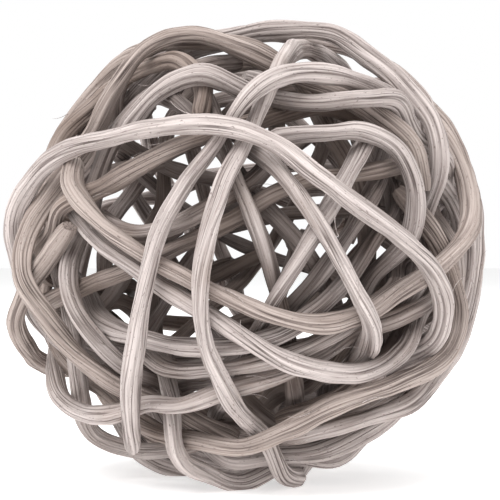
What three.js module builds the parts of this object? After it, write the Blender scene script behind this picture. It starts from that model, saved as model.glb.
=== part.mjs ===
import * as THREE from 'three';

// A decorative ball wound from flattened lengths of vine. Millimetres, +Z up, front towards -Y.
// The origin is on the surface that the ball rests on, under the middle of the ball.

// ---- driving dimensions ----
const BALL_RADIUS = 51.5;
const REST_HEIGHT = 48.6;
const FOOT_PRESS = 0.45;
const STRAND_WIDTH = 4.2;
const STRAND_THICKNESS = 3.2;
const CONTACT_GAP = 0.35;
const STEP_LENGTH = 10.4;
const WOUND_ANGLE = 344;
const TUCK_ANGLE = 20;
const TUCK_LAYERS = 1.5;
const LAYER_PITCH = 3.8;
const OUTER_CENTRELINE = BALL_RADIUS - STRAND_THICKNESS / 2;
const INNER_CENTRELINE = 31;

// ---- how the strands are wound ----
// Each strand goes once or part of the way round the ball. It is given by the places it passes, each
// written [azimuth, elevation, layer]: degrees round from the front towards +X, degrees up, and layers
// of vine below the outside. The first, middle and last places fix the hoop, and the others bend it.
// Its two ends are tucked in on the far side of the hoop, unless end names the place where it stops.
// turn is how many degrees of the hoop it covers.
const ROUTES = [
  // inner strands, crossing the hollow
  {
    name: 'deep_slant',
    places: [[-14, 44, 2.8], [4, 20, 2.9], [18, 4, 3], [33, -16, 2.9], [52, -44, 2.4]],
  },
  {
    name: 'deep_upright',
    places: [
      [44, 42, 2.6], [51, 12, 2.9], [49, -12, 2.8], [40, -42, 2.4], [-150, -40, 1.4],
      [-150, 50, 1.4],
    ],
  },
  {
    name: 'inner_slant',
    places: [[-12, 46, 2.6], [-1, 18, 2.4], [5, 4, 2.4], [11, -15, 2.5], [26, -50, 2.3]],
  },
  {
    name: 'inner_brace',
    places: [[88, 42, 1.6], [55, 23, 2.5], [43, 13, 2.7], [31, 0, 2.8], [0, -36, 2.6]],
  },
  {
    name: 'left_cross_tie',
    places: [[-56, -11, 2.2], [-33, -5, 2.2], [-11, 5, 2.4], [16, 19, 2.6], [50, 22, 2.3]],
  },
  {
    name: 'left_cross_bar',
    places: [[-51, 10, 2.2], [-37, 6, 2.1], [-20, 6, 2.1], [-10, 12, 2.3], [12, 32, 2.8]],
    end: 'first',
    turn: 190,
  },
  {
    name: 'inner_low_bar',
    places: [[-52, -21, 2.2], [-29, -24, 1.9], [-8, -25, 1.9], [7, -21, 2.1], [40, -4, 2.8]],
  },
  {
    name: 'low_right_brace',
    places: [[16, -54, 1.8], [33, -45, 1.6], [64, -26, 2.2]],
    end: 'first',
    turn: 220,
  },
  // middle strands
  {
    name: 'steep_slant',
    places: [
      [56, 40, 2], [52, 36, 1.8], [38, 27, 1.7], [24, 11, 1.7], [16, -2, 1.8], [10, -14, 1.9],
      [3, -33, 2.1],
    ],
    end: 'first',
    turn: 260,
  },
  {
    name: 'long_slant',
    places: [[-8, 42, 2.7], [0, 32, 2.2], [8, 22, 1.6], [16, 9, 1.2], [31, -15, 1.4], [50, -37, 1.9]],
    end: 'first',
    turn: 290,
  },
  {
    name: 'left_tie',
    places: [
      [-41, 15, 1.8], [-26, 22, 1.6], [-12, 29, 1.6], [-3, 33, 1.9], [28, 46, 2.3], [70, 41, 1.9],
    ],
  },
  {
    name: 'kinked_bar',
    places: [
      [9, 30, 1.8], [20, 29, 1.2], [32, 29, 1], [43, 28, 0.9], [48, 22, 0.9], [52, 14, 1.1],
      [54, 4, 1.4], [48, -12, 2.1],
    ],
    end: 'first',
    turn: 200,
  },
  {
    name: 'left_inner_rise',
    places: [
      [0, 70, 2], [-30, 62, 2.3], [-52, 35, 2.2], [-56, 12, 2], [-53, -5, 1.5], [-46, -17, 1.3],
      [-39, -35, 1.4], [-18, -60, 1.6],
    ],
    end: 'first',
    turn: 240,
  },
  {
    name: 'hook',
    places: [[-13, 38, 2.7], [-14, 47, 2.2], [-20, 55, 1.9], [-45, 60, 1.8], [-85, 44, 1.6]],
    end: 'first',
    turn: 230,
  },
  {
    name: 'upper_bar',
    places: [
      [-38, 31, 1.9], [-32, 38, 1.4], [-17, 46, 1.2], [-1, 47, 1.2], [14, 41, 1.3], [40, 38, 1.1],
      [54, 37, 1.1], [69, 27, 1.4],
    ],
    end: 'first',
    turn: 290,
  },
  {
    name: 'upper_low_band',
    places: [
      [54, -10, 1.5], [34, -20, 1.4], [12, -29, 1.4], [-14, -34, 1.3], [-32, -36, 1.4],
      [-60, -34, 1.8],
    ],
  },
  // outer strands
  {
    name: 'smile',
    places: [
      [-52, 23, 1.8], [-43, 13, 1.3], [-30, 2, 1.1], [-12, -8, 1.1], [8, -16, 1], [28, -18, 1],
      [46, -11, 1.1], [62, 0, 0.5], [76, 12, 0.1], [87, 26, 0], [102, 42, 0.4], [125, 58, 1.1],
    ],
    end: 'first',
    turn: 235,
  },
  {
    name: 'low_smile',
    places: [
      [-60, 14, 2], [-48, 7, 1.3], [-27, -4, 1.1], [-6, -15, 1], [17, -27, 0.8], [40, -30, 0.9],
      [57, -23, 1], [66, -16, 1.4],
    ],
    end: 'first',
    turn: 330,
  },
  {
    name: 'low_band',
    places: [
      [60, -11, 1.2], [38, -23, 1.2], [16, -32, 1.2], [-4, -38, 1.1], [-31, -42, 1],
      [-50, -43, 0.8], [-72, -41, 0.4], [-88, -33, 0.3],
    ],
  },
  {
    name: 'left_rise',
    places: [
      [30, 53, 1.9], [13, 58, 1.6], [-4, 63, 1.4], [-48, 62, 0.9], [-50, 44, 1.1], [-52, 30, 1.3],
      [-59, 15, 0.9], [-62, 2, 0.6], [-55, -15, 0.8], [-44, -33, 1], [-34, -46, 1.4],
      [-3, -62, 1.9],
    ],
    end: 'last',
    turn: 250,
  },
  {
    name: 'upright_bend',
    places: [
      [42, 65, 1.1], [13, 46, 1.1], [4, 32, 1.3], [-3, 18, 0.8], [-8, -2, 0.5], [-8, -20, 0.5],
      [-4, -32, 0.6], [1, -44, 1], [10, -54, 1.4], [22, -64, 0.3], [50, -72, -0.3], [110, -74, 0],
    ],
  },
  {
    name: 'left_upright',
    places: [
      [45, 43, 0.9], [20, 44, 0.3], [4, 37, 0.5], [-9, 23, 0.5], [-18, 3, 0.4], [-24, -19, 0.2],
      [-34, -40, 0.2], [-46, -53, 0],
    ],
    end: 'last',
    turn: 320,
  },
  {
    name: 'left_edge',
    places: [
      [-50, 9, 2.3], [-63, -3, 1.4], [-74, -14, 0.2], [-85, -23, 0], [-104, -30, 0.2],
      [-125, -33, 0.4], [-165, -35, 0.8],
    ],
    end: 'first',
    turn: 220,
  },
  {
    name: 'bottom_band',
    places: [
      [-60, -30, 1.6], [-81, -47, 0.2], [-74, -62, 0], [-40, -66, 0.5], [-12, -62, 1.1],
      [12, -58, 1], [37, -49, 0.8], [58, -42, 0.7], [78, -33, 0.3], [90, -17, 0], [88, 2, 0.3],
      [82, 16, 1.2],
    ],
  },
  {
    name: 'bottom_turn',
    places: [
      [-40, -30, 2.7], [-34, -39, 1.9], [-29, -46, 0.8], [-26, -55, 0], [-18, -64, 0],
      [-3, -70, -0.8], [16, -71, -0.2], [50, -62, 1], [70, -50, 0.9], [84, -36, 0.9],
    ],
    end: 'first',
    turn: 190,
  },
  {
    name: 'right_swing',
    places: [
      [54, 20, 2.3], [66, -6, 0.6], [70, -20, 0.2], [56, -28, 0.1], [42, -31, 0.1], [28, -35, 0.1],
      [14, -43, 0.1], [0, -50, 0.1], [-18, -54, 0.5], [-45, -55, 1.4],
    ],
    end: 'first',
    turn: 190,
  },
  {
    name: 'right_shoulder',
    places: [[100, 62, 0.6], [88, 44, 0.2], [85, 30, 0.4], [80, 18, 0.6], [76, 6, 1], [72, -25, 1.6]],
  },
  {
    name: 'crown',
    places: [
      [-125, 30, 1.2], [-80, 62, 1.3], [5, 74, 1.2], [55, 69, 0.9], [60, 53, 0.7], [61, 42, 0.5],
      [64, 33, 0.4], [64, 20, 0.7], [63, 8, 1.1], [58, -14, 2],
    ],
  },
  {
    name: 'upper_left_edge',
    places: [
      [-105, -5, 0.9], [-92, 30, 0.7], [-90, 50, 0.6], [-60, 65, 1.1], [-5, 70, 1.8], [30, 62, 2.2],
    ],
    end: 'last',
    turn: 280,
  },
  {
    name: 'high_arch',
    places: [
      [-80, -27, 1], [-72, -8, 0.6], [-64, 9, 0.2], [-52, 20, -0.2], [-33, 25, -0.3],
      [-12, 28, -0.4], [2, 26, -0.4], [21, 13, -0.2], [35, 4, -0.1], [49, -6, 0], [60, -22, 0.9],
      [66, -36, 2.2],
    ],
  },
  // strands of the far side
  {
    name: 'far_upper_band',
    places: [
      [-100, -2, 1.4], [-130, 9, 0.8], [-150, 15, 0.5], [-170, 21, 0.6], [155, 24, 0.4],
      [115, 20, 0.9],
    ],
    end: 'first',
    turn: 175,
  },
  {
    name: 'far_lower_band',
    places: [
      [-105, -12, 1.5], [-135, -19, 0.7], [-158, -22, 0.4], [170, -24, 0.6], [140, -22, 0.3],
      [105, -12, 1.2],
    ],
    end: 'first',
    turn: 160,
  },
  {
    name: 'far_middle_band',
    places: [
      [-125, 32, 1.4], [-165, 10, 1.2], [-178, 3, 1.1], [168, -3, 1], [148, -10, 1.2],
      [110, -24, 1.6],
    ],
    end: 'first',
    turn: 170,
  },
  {
    name: 'far_steep_rise',
    places: [[178, 58, 1.4], [158, 41, 1.3], [140, 25, 0.9], [122, 0, 0.6], [110, -30, 1]],
    end: 'first',
    turn: 190,
  },
  {
    name: 'far_low_slant',
    places: [[-120, -18, 1.7], [-150, -36, 0.9], [176, -46, 0.6], [140, -46, 0.8], [105, -35, 1.3]],
    end: 'first',
    turn: 140,
  },
  {
    name: 'rear_foot',
    places: [[-118, -48, 1.2], [-152, -66, 0.1], [180, -72, -0.5], [140, -66, 1], [112, -54, 1.6]],
    end: 'first',
    turn: 120,
  },
  {
    name: 'far_left_rise',
    places: [
      [-118, -14, 1.9], [-130, 3, 1.4], [-141, 16, 1.2], [-152, 30, 1.3], [-160, 44, 1.5],
      [-175, 60, 1.9],
    ],
    end: 'first',
    turn: 110,
  },
  {
    name: 'far_right_rise',
    places: [
      [-146, -36, 1.9], [-163, -24, 1.7], [-178, -11, 1.6], [169, 4, 1.6], [156, 22, 1.8],
      [140, 40, 2],
    ],
    end: 'first',
    turn: 115,
  },
  {
    name: 'far_upper_tie',
    places: [[-118, 38, 2.1], [-142, 32, 2.2], [-160, 27, 2.2], [-175, 22, 2], [155, 10, 1.9]],
    end: 'first',
    turn: 100,
  },
];
const BACK_LAYERS = [0.9, 1.3, 0.5, 1.7, 0.1];
const END_SPREAD = 110;
const GOLDEN = 0.618;

// Where the ball is pressed flat, each [azimuth, elevation, distance from the middle]: under it, where
// it rests, and less so at the upper left and the lower right.
const FLATS = [
  [0, -90, REST_HEIGHT + FOOT_PRESS],
  [-90, 38, 46.6],
  [90, -52, 47.2],
];

// ---- settling the strands on one another ----
const SETTLING_ROUNDS = 600;
const ROUNDS_PER_SEARCH = 20;
const SEARCH_MARGIN = 3;
const STIFFNESS = 0.4;
const PULL = 0.04;
const SLIP = 0.15;

const FULL_TURN = 2 * Math.PI;
const radians = THREE.MathUtils.degToRad;

function onBall(azimuth, elevation) {
  const around = radians(azimuth);
  const up = radians(elevation);
  return new THREE.Vector3(Math.cos(up) * Math.sin(around), -Math.cos(up) * Math.cos(around), Math.sin(up));
}

// A smooth value round a hoop, through knots of [angle, value] in rising order of angle.
function smoothRound(knots) {
  const knot = (i) => {
    const turns = Math.floor(i / knots.length);
    const [angle, value] = knots[i - turns * knots.length];
    return [angle + turns * FULL_TURN, value];
  };
  const slope = (i) => {
    const [before, low] = knot(i - 1);
    const [after, high] = knot(i + 1);
    return (high - low) / (after - before);
  };
  return (angle) => {
    const wrapped = knots[0][0] + THREE.MathUtils.euclideanModulo(angle - knots[0][0], FULL_TURN);
    let i = 0;
    while (knot(i + 1)[0] <= wrapped) i += 1;
    const [start, from] = knot(i);
    const [end, to] = knot(i + 1);
    const span = end - start;
    const t = (wrapped - start) / span;
    const rise = t * t * (3 - 2 * t);
    const leave = t * (1 - t) * (1 - t) * slope(i) * span;
    const arrive = t * t * (t - 1) * slope(i + 1) * span;
    return from + (to - from) * rise + leave + arrive;
  };
}

// The stations of one strand along the route it was wound on, measured from the ball's centre.
function layStrand({ name, places, end, turn = WOUND_ANGLE }, index) {
  const marks = places.map(([azimuth, elevation]) => onBall(azimuth, elevation));
  const first = marks[0];
  const middle = marks[marks.length >> 1];
  const last = marks[marks.length - 1];
  const axis = middle.clone().sub(first).cross(last.clone().sub(first)).normalize();
  const ahead = middle.clone().addScaledVector(axis, -axis.dot(middle)).normalize();
  const along = axis.clone().cross(ahead);
  const lean = Math.asin(axis.dot(middle));
  const angles = marks.map((mark) => Math.atan2(mark.dot(along), mark.dot(ahead)));
  const farSide = (angles[0] + angles[angles.length - 1]) / 2 + Math.PI;
  const bends = angles.map((angle, i) => [angle, Math.asin(axis.dot(marks[i])) - lean]);
  const depths = angles.map((angle, i) => [angle, places[i][2]]);
  const bend = smoothRound([...bends, [farSide, 0]]);
  const depth = smoothRound([...depths, [farSide, BACK_LAYERS[index % BACK_LAYERS.length]]]);

  const sweep = radians(turn);
  const opening = farSide + radians(END_SPREAD) * (((index * GOLDEN) % 1) - 0.5);
  let from = opening + (FULL_TURN - sweep) / 2;
  if (end === 'first') from = angles[0];
  if (end === 'last') from = angles[angles.length - 1] - sweep;
  const steps = Math.round((sweep * Math.cos(lean) * OUTER_CENTRELINE) / STEP_LENGTH);
  const route = [];
  for (let i = 0; i <= steps; i += 1) {
    const angle = from + (sweep * i) / steps;
    const tilt = lean + bend(angle);
    const direction = ahead.clone().multiplyScalar(Math.cos(angle)).addScaledVector(along, Math.sin(angle));
    direction.multiplyScalar(Math.cos(tilt)).addScaledVector(axis, Math.sin(tilt));
    const fromStart = end === 'first' ? Infinity : (i * sweep) / steps;
    const fromStop = end === 'last' ? Infinity : ((steps - i) * sweep) / steps;
    const tuck = Math.max(0, 1 - Math.min(fromStart, fromStop) / radians(TUCK_ANGLE)) ** 1.5;
    const layer = depth(angle) + TUCK_LAYERS * tuck;
    route.push(direction.multiplyScalar(OUTER_CENTRELINE - layer * LAYER_PITCH));
  }
  return { name, route, points: route.map((point) => point.clone()) };
}

// Where two straight steps pass nearest each other, as a share of the way along each.
function nearestShares(start, end, otherStart, otherEnd) {
  const step = end.clone().sub(start);
  const otherStep = otherEnd.clone().sub(otherStart);
  const between = start.clone().sub(otherStart);
  const square = step.dot(step);
  const otherSquare = otherStep.dot(otherStep);
  const cross = step.dot(otherStep);
  const reach = step.dot(between);
  const otherReach = otherStep.dot(between);
  const spread = square * otherSquare - cross * cross;
  const clamp = THREE.MathUtils.clamp;
  let share = spread > 1e-9 ? clamp((cross * otherReach - reach * otherSquare) / spread, 0, 1) : 0.5;
  const otherShare = clamp((cross * share + otherReach) / otherSquare, 0, 1);
  share = clamp((cross * otherShare - reach) / square, 0, 1);
  return [share, otherShare];
}

// Pairs of steps of different strands that are near enough to come into touch.
function findNeighbours(strands) {
  const steps = [];
  strands.forEach(({ points }, strand) => {
    for (let i = 0; i < points.length - 1; i += 1) {
      const middle = points[i].clone().add(points[i + 1]).multiplyScalar(0.5);
      steps.push({ strand, start: points[i], end: points[i + 1], middle });
    }
  });
  const range = STEP_LENGTH + STRAND_WIDTH + SEARCH_MARGIN;
  const pairs = [];
  steps.forEach((step, i) => {
    for (let j = i + 1; j < steps.length; j += 1) {
      const other = steps[j];
      const near = step.middle.distanceTo(other.middle) < range;
      if (near && other.strand !== step.strand) pairs.push([step, other]);
    }
  });
  return pairs;
}

// Moves two touching steps apart. Lengths towards the ball's centre count more, by as much as the
// strand is wider than it is thick, so that a flat strand lies flat on the one below it, and it
// slips less sideways than it lifts.
function partSteps([step, other]) {
  const [share, otherShare] = nearestShares(step.start, step.end, other.start, other.end);
  const point = step.start.clone().lerp(step.end, share);
  const apart = other.start.clone().lerp(other.end, otherShare).sub(point);
  const outward = point.normalize();
  const height = apart.dot(outward);
  const flatness = (STRAND_WIDTH + CONTACT_GAP) / LAYER_PITCH;
  const stretched = Math.hypot(apart.addScaledVector(outward, -height).length(), height * flatness);
  const overlap = STRAND_WIDTH + CONTACT_GAP - stretched;
  if (overlap <= 0) return;
  const sideways = apart.length();
  const push = apart.multiplyScalar(SLIP).addScaledVector(outward, height * flatness * flatness);
  const weights = [1 - share, share, 1 - otherShare, otherShare];
  const load = weights.reduce((sum, weight) => sum + weight * weight, 0);
  const gain = (SLIP * sideways * sideways + (height * flatness * flatness) ** 2) / stretched;
  push.multiplyScalar(overlap / (gain * load));
  step.start.addScaledVector(push, -weights[0]);
  step.end.addScaledVector(push, -weights[1]);
  other.start.addScaledVector(push, weights[2]);
  other.end.addScaledVector(push, weights[3]);
}

// Keeps a strand inside the ball's outside and its flats, and off the hollow.
function limitStrand({ points }) {
  points.forEach((point) => {
    let radius = Math.min(point.length(), OUTER_CENTRELINE);
    FLATS.forEach(([azimuth, elevation, distance]) => {
      const facing = onBall(azimuth, elevation).dot(point) / point.length();
      if (facing > 0) radius = Math.min(radius, distance / facing - STRAND_THICKNESS / 2);
    });
    point.setLength(Math.max(INNER_CENTRELINE, radius));
  });
}

// The strand springs back towards a fair curve near the route it was wound on.
function relaxStrand({ route, points }, vigour) {
  const strain = points.map((point, i) => point.clone().sub(route[i]));
  strain.forEach((own, i) => {
    const before = strain[Math.max(0, i - 1)];
    const after = strain[Math.min(strain.length - 1, i + 1)];
    const fair = before.clone().add(after).multiplyScalar(0.5).sub(own);
    points[i].addScaledVector(fair, STIFFNESS * vigour).addScaledVector(own, -PULL * vigour);
  });
}

// The strands spring back less and less from round to round, so that they end clear of each other.
function settle(strands) {
  let neighbours = [];
  for (let round = 0; round < SETTLING_ROUNDS; round += 1) {
    const vigour = Math.max(0, 1 - (1.25 * round) / SETTLING_ROUNDS) ** 2;
    if (round % ROUNDS_PER_SEARCH === 0) neighbours = findNeighbours(strands);
    strands.forEach((strand) => relaxStrand(strand, vigour));
    neighbours.forEach(partSteps);
    strands.forEach(limitStrand);
  }
}

// The strand's centreline, with the flat of its section turned to face out from the ball's centre.
class StrandPath extends THREE.Curve {
  constructor(points) {
    super();
    this.points = points;
  }

  getSpacedPoints() {
    return this.points;
  }

  computeFrenetFrames() {
    const last = this.points.length - 1;
    const tangents = this.points.map((point, i) => {
      const before = this.points[Math.max(0, i - 1)];
      const after = this.points[Math.min(last, i + 1)];
      return after.clone().sub(before).normalize();
    });
    const normals = tangents.map((tangent, i) => this.points[i].clone().cross(tangent).normalize());
    const binormals = tangents.map((tangent, i) => tangent.clone().cross(normals[i]));
    return { tangents, normals, binormals };
  }
}

// A flattened six-sided section: a flat outside and inside, with pointed edges.
function strandSection() {
  const edge = STRAND_WIDTH / 2;
  const flat = STRAND_WIDTH / 4;
  const half = STRAND_THICKNESS / 2;
  return new THREE.Shape([
    new THREE.Vector2(edge, 0),
    new THREE.Vector2(flat, half),
    new THREE.Vector2(-flat, half),
    new THREE.Vector2(-edge, 0),
    new THREE.Vector2(-flat, -half),
    new THREE.Vector2(flat, -half),
  ]);
}

function strandGeometry({ points }) {
  const geometry = new THREE.ExtrudeGeometry(strandSection(), {
    steps: points.length - 1,
    extrudePath: new StrandPath(points),
  });
  const position = geometry.attributes.position;
  for (let i = 0; i < position.count; i += 1) {
    position.setZ(i, Math.max(0, position.getZ(i) + REST_HEIGHT));
  }
  return geometry;
}

// Grey-limed vine: every third strand shows more of its brown.
function strandMaterial(index) {
  const colour = index % 3 === 1 ? 0x9c8b80 : 0xb3a8a3;
  return new THREE.MeshStandardMaterial({ color: colour, roughness: 0.85, metalness: 0 });
}

function buildBall() {
  const ball = new THREE.Group();
  const strands = ROUTES.map(layStrand);
  settle(strands);
  strands.forEach((strand, index) => {
    const mesh = new THREE.Mesh(strandGeometry(strand), strandMaterial(index));
    mesh.name = `strand_${String(index + 1).padStart(2, '0')}_${strand.name}`;
    ball.add(mesh);
  });
  const middle = new THREE.Box3().setFromObject(ball).getCenter(new THREE.Vector3());
  ball.children.forEach((mesh) => mesh.position.set(-middle.x, -middle.y, 0));
  return ball;
}

export default buildBall();
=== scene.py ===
"""A decorative ball wound from flattened, limed vine. Metres, +Z up, with the front towards -Y."""
import math

import bpy
import numpy as np
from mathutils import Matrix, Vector


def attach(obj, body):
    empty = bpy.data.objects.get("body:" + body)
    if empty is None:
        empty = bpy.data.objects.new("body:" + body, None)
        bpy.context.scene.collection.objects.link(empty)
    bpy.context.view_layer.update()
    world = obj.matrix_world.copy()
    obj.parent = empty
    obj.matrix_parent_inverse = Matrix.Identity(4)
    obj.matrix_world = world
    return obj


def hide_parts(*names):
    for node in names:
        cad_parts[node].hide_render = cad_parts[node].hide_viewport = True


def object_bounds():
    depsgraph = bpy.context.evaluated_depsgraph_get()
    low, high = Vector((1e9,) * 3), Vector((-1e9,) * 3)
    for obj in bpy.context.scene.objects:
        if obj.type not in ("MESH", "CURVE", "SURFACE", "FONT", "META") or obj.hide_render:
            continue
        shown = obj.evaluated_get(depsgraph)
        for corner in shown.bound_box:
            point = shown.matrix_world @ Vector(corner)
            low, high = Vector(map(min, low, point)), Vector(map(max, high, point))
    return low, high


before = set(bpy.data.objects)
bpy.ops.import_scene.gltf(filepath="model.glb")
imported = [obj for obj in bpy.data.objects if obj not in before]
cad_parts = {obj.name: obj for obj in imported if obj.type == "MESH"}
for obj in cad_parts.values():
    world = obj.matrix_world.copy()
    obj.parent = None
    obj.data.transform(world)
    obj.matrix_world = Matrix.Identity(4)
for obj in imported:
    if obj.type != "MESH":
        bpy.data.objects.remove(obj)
cad_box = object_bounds()

MM = 0.001
MIDDLE = (Vector(cad_box[0]) + Vector(cad_box[1])) / 2

# ---- the strands, in millimetres ----
STRAND_WIDTH = 4.2
STRAND_THICKNESS = 3.4
SECTION_POINTS = 34
RING_STEP = 1.1
RING_LINK = 5.0  # corners of one ring of a solid are nearer than this, and its rings are further apart
RING_PASSES = 6  # enough for one number to reach all the corners of a ring
WOBBLE = 0.35
WOBBLES_PER_METRE = 70.0
TWIST = 0.6  # radians, either way
TWISTS_PER_MM = 0.022
NARROWEST = 0.86
WIDEST = 1.16
SWELLS_PER_MM = 0.06
WORN_END = 0.72  # the size of a worn cut end, as a share of the strand's
WORN_LENGTH = 0.01  # how much of each end is worn, as a share of the length
GRAIN_SHIFT = 1000.0  # sets the grain of each strand clear of the next one's
SIZE_STEP = 0.618  # these two spread the strands' sizes and tones evenly
TONE_STEP = 0.382

# ---- the relief and colouring of the vine, in millimetres ----
BROAD_RELIEF = 0.3
BROAD_RATES = (0.45, 0.45, 0.05)  # swellings per millimetre across, through and along the vine
CRACK_SPACING = 1.15
CRACK_RUN = 60.0
CRACK_DEPTH = 0.3
CRACK_BAND = 0.11  # how near its middle the slow noise makes a crack, in the shape
CRACK_LINE = 0.06  # and in the colour
STREAK_BUMP = 0.35
STREAKS_PER_MM = 2.4
STREAK_STRETCH = 0.03  # the rate along the vine, as a share of the rate across
SPECKS_PER_MM = 3.4
SPECK_STRETCH = 0.35
WASH_PATCH = 12.0
OPEN_PATCH = 9.0
OUTER_LAYER = 49.0  # from the ball's middle, where the shade inside it begins
INNER_LAYER = 36.0  # and where it is full

# ---- the stray fibres, in millimetres ----
FIBRE_SPACING = 9.0
FIBRE_SHARE = 0.35
FIBRE_LENGTH = 5.5
FIBRE_THICKNESS = 0.2
FIBRE_CLEARANCE = 0.1  # above the resting surface
FIBRE_SIDE = 1.4  # radians round from the outside of the strand, either way
SKIN = 0.48  # where a fibre starts, as a share of the strand's width and thickness

# ---- colours: the wash where it is pale and middling, and worn wood, for each kind of vine ----
WASHES = {
    "limed_vine": ("#d0c5c1", "#988c88", "#857266"),
    "brown_vine": ("#bbada6", "#8b7d76", "#7a6658"),
}
# painted shade for the inner strands of the ball
PAINTED_INNER_SHADE = "#4b403c"
# painted shade in the cracks, darker than the bare wood
CRACK_SHADE = "#4a3d39"
BARK = "#5b4c48"


def linear(colour):
    """An sRGB hex colour as the linear colour that a shader socket takes."""
    parts = [int(colour[i : i + 2], 16) / 255 for i in (1, 3, 5)]
    return [p / 12.92 if p <= 0.04045 else ((p + 0.055) / 1.055) ** 2.4 for p in parts] + [1.0]


def add(tree, kind, inputs=None, **settings):
    """Adds one node with its settings.

    An input takes a value, a socket, or a node, which stands for the first of its outputs in use.
    """
    node = tree.nodes.new(kind)
    for name, value in settings.items():
        setattr(node, name, value)
    for key, value in (inputs or {}).items():
        if isinstance(value, bpy.types.Node):
            value = next(socket for socket in value.outputs if socket.enabled)
        if isinstance(value, bpy.types.NodeSocket):
            tree.links.new(value, node.inputs[key])
        else:
            node.inputs[key].default_value = value
    return node


def put(name, data):
    """A new object of the scene, at the origin."""
    piece = bpy.data.objects.new(name, data)
    bpy.context.scene.collection.objects.link(piece)
    return piece


# ---- the strands' centrelines, from their solids ----
def centreline(solid):
    """The middles of a strand's six-sided rings, in order from one end to the other."""
    mesh = solid.data
    places = np.array([vertex.co for vertex in mesh.vertices])
    corners, corner_of = np.unique(np.round(places / MM, 3), axis=0, return_inverse=True)
    edges = np.array([edge.vertices for edge in mesh.edges])
    links = np.unique(np.sort(corner_of.ravel()[edges], axis=1), axis=0)
    lengths = np.linalg.norm(corners[links[:, 0]] - corners[links[:, 1]], axis=1)
    ring_of = np.arange(len(corners))
    for _ in range(RING_PASSES):
        for a, b in links[lengths < RING_LINK]:
            ring_of[a] = ring_of[b] = min(ring_of[a], ring_of[b])
    beside = {ring: set() for ring in ring_of}
    for a, b in ring_of[links]:
        if a != b:
            beside[a].add(b)
            beside[b].add(a)
    order = [min(ring for ring in beside if len(beside[ring]) == 1)]
    while len(order) < len(beside):
        order += [ring for ring in beside[order[-1]] if ring not in order[-2:]]
    return [Vector(corners[ring_of == ring].mean(axis=0)) * MM for ring in order]


def line_mesh(name, runs):
    """A mesh of edges alone, one run of them for each list of points."""
    mesh = bpy.data.meshes.new(name)
    points = [point for run in runs for point in run]
    edges = []
    start = 0
    for run in runs:
        edges += [(start + i, start + i + 1) for i in range(len(run) - 1)]
        start += len(run)
    mesh.from_pydata(points, edges, [])
    return mesh


# ---- geometry node trees ----
def new_tree(name, inputs):
    """A tree with named inputs, each given as its socket kind and its value."""
    tree = bpy.data.node_groups.new(name, "GeometryNodeTree")
    tree.interface.new_socket("Geometry", in_out="INPUT", socket_type="NodeSocketGeometry")
    for label, (kind, value) in inputs.items():
        socket = tree.interface.new_socket(label, in_out="INPUT", socket_type=kind)
        if value is not None:
            socket.default_value = value
    tree.interface.new_socket("Geometry", in_out="OUTPUT", socket_type="NodeSocketGeometry")
    return tree


def grow(name, mesh, tree, values):
    """Runs a tree on a mesh of lines and keeps the result as a plain mesh."""
    maker = put(name + "_line", mesh)
    modifier = maker.modifiers.new("Grow", "NODES")
    modifier.node_group = tree
    for item in tree.interface.items_tree:
        if item.name in values:
            modifier[item.identifier] = values[item.name]
    graph = bpy.context.evaluated_depsgraph_get()
    made = bpy.data.meshes.new_from_object(
        maker.evaluated_get(graph), preserve_all_data_layers=True, depsgraph=graph
    )
    bpy.data.objects.remove(maker)
    return put(name, made)


def fair_line(tree, geometry, step):
    """The runs of edges as smooth curves, with points a step apart."""
    line = add(tree, "GeometryNodeMeshToCurve", {0: geometry})
    line = add(tree, "GeometryNodeCurveSplineType", {0: line}, spline_type="CATMULL_ROM")
    return add(tree, "GeometryNodeResampleCurve", {0: line, "Length": step}, mode="LENGTH")


def keep_vector(tree, geometry, name, value):
    """Stores a vector on each point, under a name."""
    inputs = {0: geometry, "Name": name, "Value": value}
    return add(tree, "GeometryNodeStoreNamedAttribute", inputs, data_type="FLOAT_VECTOR")


def named_vector(tree, name):
    """The vector stored under a name."""
    return add(tree, "GeometryNodeInputNamedAttribute", {"Name": name}, data_type="FLOAT_VECTOR")


def above_floor(tree, geometry, place, height):
    """Lifts what would be lower than a height above the resting surface up to it."""
    level = add(tree, "ShaderNodeVectorMath", {0: place, 1: (-1.0, -1.0, height)}, operation="MAXIMUM")
    return add(tree, "GeometryNodeSetPosition", {0: geometry, "Position": level})


def stretched(tree, grain, share):
    """The grain's coordinates, with the one along the vine scaled down to a share."""
    rates = (1.0, 1.0, share)
    return add(tree, "ShaderNodeVectorMath", {0: grain, 1: rates}, operation="MULTIPLY")


def cracks_in(tree, grain, band):
    """How deep in a crack a place is. Cracks run along the vine, where slow noise passes its middle."""
    slow = stretched(tree, grain, CRACK_SPACING / CRACK_RUN)
    noise = add(tree, "ShaderNodeTexNoise", {"Vector": slow, "Scale": 1 / CRACK_SPACING, "Detail": 1.0})
    away = add(tree, "ShaderNodeMath", {0: noise, 1: 0.5}, operation="SUBTRACT")
    away = add(tree, "ShaderNodeMath", {0: away}, operation="ABSOLUTE")
    inputs = {0: away, 1: 0.0, 2: band, 3: 1.0, 4: 0.0}
    return add(tree, "ShaderNodeMapRange", inputs, interpolation_type="SMOOTHSTEP")


def slow_noise(tree, along, per_mm, detail, low, high, limits):
    """A number that wanders between two limits along the vine."""
    inputs = {"W": along, "Scale": per_mm, "Detail": detail}
    noise = add(tree, "ShaderNodeTexNoise", inputs, noise_dimensions="1D")
    return add(tree, "ShaderNodeMapRange", {0: noise, 1: low, 2: high, 3: limits[0], 4: limits[1]})


def uneven_line(tree, line, place):
    """Moves the line's points a little, each its own way."""
    drift = add(tree, "ShaderNodeTexNoise", {"Vector": place, "Scale": WOBBLES_PER_METRE, "Detail": 1.0})
    drift = drift.outputs["Color"]
    drift = add(tree, "ShaderNodeVectorMath", {0: drift, 1: (0.5, 0.5, 0.5)}, operation="SUBTRACT")
    drift = add(tree, "ShaderNodeVectorMath", {0: drift, "Scale": 2 * WOBBLE * MM}, operation="SCALE")
    return add(tree, "GeometryNodeSetPosition", {0: line, "Offset": drift})


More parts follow.
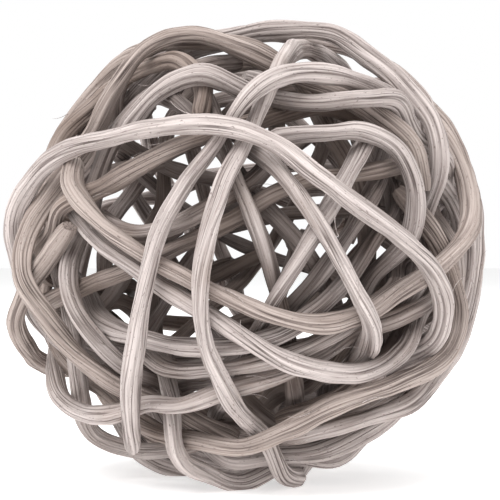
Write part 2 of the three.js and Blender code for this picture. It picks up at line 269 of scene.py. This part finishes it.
def face_outwards(tree, line, place, along):
    """Turns the flat of the strand out from the ball's middle, with a slight twist."""
    tangent = add(tree, "GeometryNodeInputTangent")
    outward = add(tree, "ShaderNodeVectorMath", {0: place, 1: MIDDLE}, operation="SUBTRACT")
    across = add(tree, "ShaderNodeVectorMath", {0: tangent, 1: outward}, operation="CROSS_PRODUCT")
    square = add(tree, "ShaderNodeVectorMath", {0: across, 1: tangent}, operation="CROSS_PRODUCT")
    twist = slow_noise(tree, along, TWISTS_PER_MM, 0.0, 0.2, 0.8, (-TWIST, TWIST))
    inputs = {"Vector": square, "Axis": tangent, "Angle": twist}
    facing = add(tree, "ShaderNodeVectorRotate", inputs, rotation_type="AXIS_ANGLE")
    return add(tree, "GeometryNodeSetCurveNormal", {0: line, "Normal": facing}, mode="FREE")


def uneven_size(tree, along, share):
    """The strand swells and narrows along its length, and its cut ends are a little worn."""
    swell = slow_noise(tree, along, SWELLS_PER_MM, 2.0, 0.25, 0.75, (NARROWEST, WIDEST))
    end = add(tree, "ShaderNodeMath", {0: share, 1: 0.5}, operation="SUBTRACT")
    end = add(tree, "ShaderNodeMath", {0: end}, operation="ABSOLUTE")
    end = add(tree, "ShaderNodeMapRange", {0: end, 1: 0.5 - WORN_LENGTH, 2: 0.5, 3: 1.0, 4: WORN_END})
    return add(tree, "ShaderNodeMath", {0: swell, 1: end}, operation="MULTIPLY")


def oval_section(tree, width, thickness, place):
    """A flattened ring that remembers its own places as section."""
    ring = add(tree, "GeometryNodeCurvePrimitiveCircle", {"Resolution": SECTION_POINTS, "Radius": 1.0})
    sides = add(tree, "ShaderNodeCombineXYZ", {0: width, 1: thickness})
    oval = add(tree, "ShaderNodeVectorMath", {0: place, 1: sides}, operation="MULTIPLY")
    oval = add(tree, "ShaderNodeVectorMath", {0: oval, "Scale": 0.5}, operation="SCALE")
    ring = add(tree, "GeometryNodeSetPosition", {0: ring, "Position": oval})
    return keep_vector(tree, ring, "section", place)


def keep_grain(tree, body):
    """Stores the grain's own coordinates, in millimetres: across, through and along the vine."""
    section = named_vector(tree, "section")
    section = add(tree, "ShaderNodeVectorMath", {0: section, "Scale": 1 / MM}, operation="SCALE")
    section = add(tree, "ShaderNodeSeparateXYZ", {0: section}).outputs
    length = add(tree, "GeometryNodeInputNamedAttribute", {"Name": "along"}, data_type="FLOAT")
    grain = add(tree, "ShaderNodeCombineXYZ", {0: section["X"], 1: section["Y"], 2: length})
    return keep_vector(tree, body, "grain", grain)


def relief(tree, body):
    """Sinks the cracks, and swells the wood between them."""
    grain = named_vector(tree, "grain")
    crack = cracks_in(tree, grain, CRACK_BAND)
    broad = add(tree, "ShaderNodeVectorMath", {0: grain, 1: BROAD_RATES}, operation="MULTIPLY")
    broad = add(tree, "ShaderNodeTexNoise", {"Vector": broad, "Scale": 1.0, "Detail": 2.0})
    limits = {3: -BROAD_RELIEF * MM, 4: BROAD_RELIEF * MM}
    broad = add(tree, "ShaderNodeMapRange", {0: broad, 1: 0.2, 2: 0.8, **limits})
    rise = {0: crack, 1: -CRACK_DEPTH * MM, 2: broad}
    rise = add(tree, "ShaderNodeMath", rise, operation="MULTIPLY_ADD")
    normal = add(tree, "GeometryNodeInputNormal")
    lift = add(tree, "ShaderNodeVectorMath", {0: normal, "Scale": rise}, operation="SCALE")
    return add(tree, "GeometryNodeSetPosition", {0: body, "Offset": lift})


def vine_tree():
    """Follows a line with a flattened, ribbed and cracked length of vine."""
    tree = new_tree(
        "vine strand",
        {
            "Width": ("NodeSocketFloat", STRAND_WIDTH * MM),
            "Thickness": ("NodeSocketFloat", STRAND_THICKNESS * MM),
            "Grain Start": ("NodeSocketFloat", 0.0),
            "Tone": ("NodeSocketFloat", 0.5),
            "Material": ("NodeSocketMaterial", None),
        },
    )
    given = add(tree, "NodeGroupInput").outputs
    place = add(tree, "GeometryNodeInputPosition")
    run = add(tree, "GeometryNodeSplineParameter").outputs
    along = {0: run["Length"], 1: 1 / MM, 2: given["Grain Start"]}
    along = add(tree, "ShaderNodeMath", along, operation="MULTIPLY_ADD")

    line = fair_line(tree, given["Geometry"], RING_STEP * MM)
    line = uneven_line(tree, line, place)
    line = face_outwards(tree, line, place, along)
    line = add(tree, "GeometryNodeStoreNamedAttribute", {0: line, "Name": "along", "Value": along})
    ring = oval_section(tree, given["Width"], given["Thickness"], place)
    size = uneven_size(tree, along, run["Factor"])
    sweep = {"Curve": line, "Profile Curve": ring, "Scale": size, "Fill Caps": True}
    body = add(tree, "GeometryNodeCurveToMesh", sweep)

    body = keep_grain(tree, body)
    tone = {0: body, "Name": "tone", "Value": given["Tone"]}
    body = add(tree, "GeometryNodeStoreNamedAttribute", tone)
    body = relief(tree, body)
    body = above_floor(tree, body, place, 0.0)
    body = add(tree, "GeometryNodeSetShadeSmooth", {0: body})
    body = add(tree, "GeometryNodeRealizeInstances", {0: body})
    body = add(tree, "GeometryNodeSetMaterial", {0: body, "Material": given["Material"]})
    add(tree, "NodeGroupOutput", {0: body})
    return tree


def one_fibre(tree):
    """A fibre, curled, and drawn out to a point."""
    fibre = add(
        tree,
        "GeometryNodeCurveQuadraticBezier",
        {
            "Resolution": 7,
            "Start": (0.0, 0.0, 0.0),
            "Middle": (0.0, 0.0, 0.6 * FIBRE_LENGTH * MM),
            "End": (0.35 * FIBRE_LENGTH * MM, 0.0, 0.9 * FIBRE_LENGTH * MM),
        },
    )
    run = add(tree, "GeometryNodeSplineParameter").outputs["Factor"]
    taper = add(tree, "ShaderNodeMapRange", {0: run, 1: 0.0, 2: 1.0, 3: 1.0, 4: 0.25})
    ring = {"Resolution": 5, "Radius": FIBRE_THICKNESS * MM / 2}
    ring = add(tree, "GeometryNodeCurvePrimitiveCircle", ring)
    sweep = {"Curve": fibre, "Profile Curve": ring, "Scale": taper, "Fill Caps": True}
    return add(tree, "GeometryNodeCurveToMesh", sweep)


def fibre_chances(tree, seed):
    """Where a fibre sits round its strand, how it lifts and leans from it, and which way it points."""
    limits = {"side": (-1.0, 1.0), "lift": (0.05, 0.3), "lean": (-0.5, 0.5), "way": (-1.0, 1.0)}
    index = add(tree, "GeometryNodeInputIndex")
    chances = {}
    for count, (label, (low, high)) in enumerate(limits.items()):
        draw = {0: index, 1: float(len(limits)), 2: float(count)}
        draw = add(tree, "ShaderNodeMath", draw, operation="MULTIPLY_ADD")
        inputs = {2: low, 3: high, "ID": draw, "Seed": seed}
        chances[label] = add(tree, "FunctionNodeRandomValue", inputs, data_type="FLOAT")
    return chances


def fibre_starts(tree, line, seed, place):
    """Moves the line's points out to the strand's skin, and stores each fibre's heading."""
    tangent = add(tree, "GeometryNodeInputTangent")
    outward = add(tree, "ShaderNodeVectorMath", {0: place, 1: MIDDLE}, operation="SUBTRACT")
    outward = add(tree, "ShaderNodeVectorMath", {0: outward}, operation="NORMALIZE")
    aside = add(tree, "ShaderNodeVectorMath", {0: tangent, 1: outward}, operation="CROSS_PRODUCT")
    chances = fibre_chances(tree, seed)
    way = add(tree, "ShaderNodeMath", {0: chances["way"]}, operation="SIGN")
    heading = add(tree, "ShaderNodeVectorMath", {0: tangent, "Scale": way}, operation="SCALE")
    for direction, share in ((outward, chances["lift"]), (aside, chances["lean"])):
        part = add(tree, "ShaderNodeVectorMath", {0: direction, "Scale": share}, operation="SCALE")
        heading = add(tree, "ShaderNodeVectorMath", {0: heading, 1: part}, operation="ADD")
    line = keep_vector(tree, line, "heading", heading)

    angle = add(tree, "ShaderNodeMath", {0: chances["side"], 1: FIBRE_SIDE}, operation="MULTIPLY")
    over = add(tree, "ShaderNodeMath", {0: angle}, operation="COSINE")
    over = add(tree, "ShaderNodeMath", {0: over, 1: SKIN * STRAND_THICKNESS * MM}, operation="MULTIPLY")
    over = add(tree, "ShaderNodeVectorMath", {0: outward, "Scale": over}, operation="SCALE")
    beside = add(tree, "ShaderNodeMath", {0: angle}, operation="SINE")
    beside = add(tree, "ShaderNodeMath", {0: beside, 1: SKIN * STRAND_WIDTH * MM}, operation="MULTIPLY")
    beside = add(tree, "ShaderNodeVectorMath", {0: aside, "Scale": beside}, operation="SCALE")
    skin = add(tree, "ShaderNodeVectorMath", {0: over, 1: beside}, operation="ADD")
    return add(tree, "GeometryNodeSetPosition", {0: line, "Offset": skin})


def fibre_tree():
    """Fine fibres that have lifted from the strands, scattered along their lines."""
    tree = new_tree(
        "stray fibres",
        {
            "Spacing": ("NodeSocketFloat", FIBRE_SPACING * MM),
            "Share": ("NodeSocketFloat", FIBRE_SHARE),
            "Seed": ("NodeSocketInt", 7),
            "Size Seed": ("NodeSocketInt", 21),
            "Material": ("NodeSocketMaterial", None),
        },
    )
    given = add(tree, "NodeGroupInput").outputs
    place = add(tree, "GeometryNodeInputPosition")
    line = fair_line(tree, given["Geometry"], given["Spacing"])
    line = fibre_starts(tree, line, given["Seed"], place)

    heading = named_vector(tree, "heading")
    turn = add(tree, "FunctionNodeAlignRotationToVector", {"Vector": heading}, axis="Z")
    chosen = {"Probability": given["Share"], "Seed": given["Seed"]}
    chosen = add(tree, "FunctionNodeRandomValue", chosen, data_type="BOOLEAN")
    size = {2: 0.35, 3: 1.2, "Seed": given["Size Seed"]}
    size = add(tree, "FunctionNodeRandomValue", size, data_type="FLOAT")
    scatter = {"Points": line, "Selection": chosen, "Rotation": turn, "Scale": size}
    scatter["Instance"] = one_fibre(tree)
    fibres = add(tree, "GeometryNodeInstanceOnPoints", scatter)
    fibres = add(tree, "GeometryNodeRealizeInstances", {0: fibres})
    fibres = above_floor(tree, fibres, place, FIBRE_CLEARANCE * MM)
    grain = add(tree, "ShaderNodeVectorMath", {0: place, "Scale": 1 / MM}, operation="SCALE")
    fibres = keep_vector(tree, fibres, "grain", grain)
    fibres = add(tree, "GeometryNodeSetMaterial", {0: fibres, "Material": given["Material"]})
    add(tree, "NodeGroupOutput", {0: fibres})
    return tree


# ---- materials ----
def blotches(tree, place, across, detail):
    """Soft noise, in blotches of a width in millimetres."""
    inputs = {"Vector": place, "Scale": 1 / (across * MM), "Detail": detail}
    return add(tree, "ShaderNodeTexNoise", inputs)


def over_colour(tree, share, below, above):
    """One colour laid over another by a share."""
    return add(tree, "ShaderNodeMix", {0: share, 6: below, 7: above}, data_type="RGBA")


def vine_material(name, pale, middling, worn):
    """Grey-limed vine: a dry, matt wash over split brown wood.

    The wash leaves long pale streaks. It is thinner in patches and towards the inside of the ball, where
    the brown shows, and the inner strands are darkened further with painted shade. The wash doesn't
    reach
    into the cracks, which are painted dark: bare wood with painted shade in them.
    """
    material = bpy.data.materials.new(name)
    material.use_nodes = True
    tree = material.node_tree
    tree.nodes.clear()
    grain = add(tree, "ShaderNodeAttribute", attribute_name="grain").outputs["Vector"]
    tone = add(tree, "ShaderNodeAttribute", attribute_name="tone").outputs["Fac"]
    place = add(tree, "ShaderNodeTexCoord").outputs["Object"]

    # streaks 0.4 mm wide and some 15 mm long
    streak = stretched(tree, grain, STREAK_STRETCH)
    streak = {"Vector": streak, "Scale": STREAKS_PER_MM, "Detail": 5.0, "Roughness": 0.6}
    streak = add(tree, "ShaderNodeTexNoise", streak)
    streak_share = add(tree, "ShaderNodeMapRange", {0: streak, 1: 0.36, 2: 0.62})
    colour = over_colour(tree, streak_share, linear(middling), linear(pale))

    # patches where the wash is thin, and on the inner strands a thinner wash and painted shade
    patch = blotches(tree, place, WASH_PATCH, 3.0)
    patch = add(tree, "ShaderNodeMath", {0: patch, 1: tone}, operation="ADD")
    inside = add(tree, "ShaderNodeVectorMath", {0: place, 1: MIDDLE}, operation="DISTANCE")
    depth = {0: inside, 1: OUTER_LAYER * MM, 2: INNER_LAYER * MM, 3: 0.0, 4: 0.45}
    inside = add(tree, "ShaderNodeMapRange", depth)
    patch = add(tree, "ShaderNodeMath", {0: patch, 1: inside}, operation="ADD")
    bare = add(tree, "ShaderNodeMapRange", {0: patch, 1: 0.85, 2: 1.45, 3: 0.0, 4: 0.85})
    colour = over_colour(tree, bare, colour, linear(worn))
    # painted shade: the inner strands darken towards the ball's middle, where shade falls
    painted_shade = add(tree, "ShaderNodeMath", {0: inside, 1: 1.5}, operation="MULTIPLY")
    colour = over_colour(tree, painted_shade, colour, linear(PAINTED_INNER_SHADE))

    # cracks, more open in some patches than in others, painted dark: bare wood with painted shade in
    # them
    crack = cracks_in(tree, grain, CRACK_LINE)
    opened = blotches(tree, place, OPEN_PATCH, 1.0)
    opened = add(tree, "ShaderNodeMapRange", {0: opened, 1: 0.35, 2: 0.65, 3: 0.2, 4: 0.85})
    crack_share = add(tree, "ShaderNodeMath", {0: crack, 1: opened}, operation="MULTIPLY")
    colour = over_colour(tree, crack_share, colour, linear(CRACK_SHADE))

    # specks of bark 0.2 mm across
    speck = stretched(tree, grain, SPECK_STRETCH)
    speck = add(tree, "ShaderNodeTexNoise", {"Vector": speck, "Scale": SPECKS_PER_MM, "Detail": 1.0})
    speck = add(tree, "ShaderNodeMapRange", {0: speck, 1: 0.66, 2: 0.74, 3: 0.0, 4: 0.6})
    colour = over_colour(tree, speck, colour, linear(BARK))

    height = add(tree, "ShaderNodeMath", {0: crack, 1: -0.8, 2: streak}, operation="MULTIPLY_ADD")
    bump = {"Strength": 0.55, "Distance": STREAK_BUMP * MM, "Height": height}
    bump = add(tree, "ShaderNodeBump", bump)
    shader = {"Base Color": colour, "Roughness": 0.85, "IOR": 1.45, "Normal": bump}
    shader = add(tree, "ShaderNodeBsdfPrincipled", shader)
    add(tree, "ShaderNodeOutputMaterial", {"Surface": shader})
    return material


def paper_material():
    """Plain white paper, lit from behind so that it stays nearly white."""
    paper = bpy.data.materials.new("white_paper")
    paper.use_nodes = True
    sockets = paper.node_tree.nodes["Principled BSDF"].inputs
    sockets["Base Color"].default_value = linear("#f4f4f4")
    sockets["Roughness"].default_value = 0.9
    sockets["Emission Color"].default_value = linear("#ffffff")
    sockets["Emission Strength"].default_value = 0.5
    return paper


# ---- the ball ----
def dress_strands(lines, vines):
    """Each strand's solid is replaced by a length of vine on its centreline."""
    tree = vine_tree()
    for count, (name, line) in enumerate(lines.items()):
        slot = "brown_vine" if count % 3 == 1 else "limed_vine"
        share = (count * SIZE_STEP) % 1
        values = {
            "Width": STRAND_WIDTH * MM * (0.9 + 0.2 * share),
            "Thickness": STRAND_THICKNESS * MM * (1.04 - 0.12 * share),
            "Grain Start": GRAIN_SHIFT * count,
            "Tone": 0.1 + 0.35 * ((count * TONE_STEP) % 1),
            "Material": vines[slot],
        }
        piece = grow(name + "_vine", line_mesh(name + "_line", [line]), tree, values)
        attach(piece, "root")
        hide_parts(name)


def scatter_fibres(lines, vine):
    """The stray fibres of the whole ball, as one piece."""
    mesh = line_mesh("fibre_lines", lines.values())
    fibres = grow("stray_fibres", mesh, fibre_tree(), {"Material": vine})
    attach(fibres, "root")


# ---- the floor, the light and the camera ----
def lay_floor():
    """A broad sheet of white paper at z = 0."""
    mesh = bpy.data.meshes.new("floor")
    mesh.from_pydata([(-4, -4, 0), (4, -4, 0), (4, 4, 0), (-4, 4, 0)], [], [(0, 1, 2, 3)])
    mesh.materials.append(paper_material())
    put("floor", mesh)


def light_studio():
    """A white surround with a dimmer fill, and three soft lamps."""
    world = bpy.data.worlds.new("studio")
    world.use_nodes = True
    sky = world.node_tree
    sky.nodes.clear()
    fill = add(sky, "ShaderNodeBackground", {"Color": linear("#ffffff"), "Strength": 0.45})
    seen = add(sky, "ShaderNodeBackground", {"Color": linear("#ffffff"), "Strength": 1.0})
    ray = add(sky, "ShaderNodeLightPath").outputs["Is Camera Ray"]
    both = add(sky, "ShaderNodeMixShader", {0: ray, 1: fill, 2: seen})
    add(sky, "ShaderNodeOutputWorld", {"Surface": both})
    bpy.context.scene.world = world
    bpy.context.scene.view_settings.view_transform = "Standard"

    for name, place, size, power in (
        ("key", (-0.45, -0.75, 0.85), 0.7, 13.0),
        ("top", (0.1, 0.3, 1.2), 0.9, 7.0),
        ("side", (0.9, -0.5, 0.4), 0.6, 3.0),
    ):
        lamp = bpy.data.lights.new(name, "AREA")
        lamp.size = size
        lamp.energy = power
        light = put(name, lamp)
        light.location = place
        light.rotation_euler = (MIDDLE - Vector(place)).to_track_quat("-Z", "Y").to_euler()


def set_camera():
    """A level view of the front from 350 mm, with the ball a little left of the middle."""
    data = bpy.data.cameras.new("camera")
    data.lens = 118.2
    data.sensor_width = 36.0
    data.shift_x = 0.005
    data.clip_start = 0.01
    camera = put("camera", data)
    camera.location = (0.0, -0.350, 0.0486)
    camera.rotation_euler = (math.radians(90), 0.0, 0.0)
    bpy.context.scene.camera = camera


vines = {slot: vine_material(slot, *washes) for slot, washes in WASHES.items()}
lines = {name: centreline(solid) for name, solid in sorted(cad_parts.items())}
dress_strands(lines, vines)
scatter_fibres(lines, vines["limed_vine"])
lay_floor()
light_studio()
set_camera()
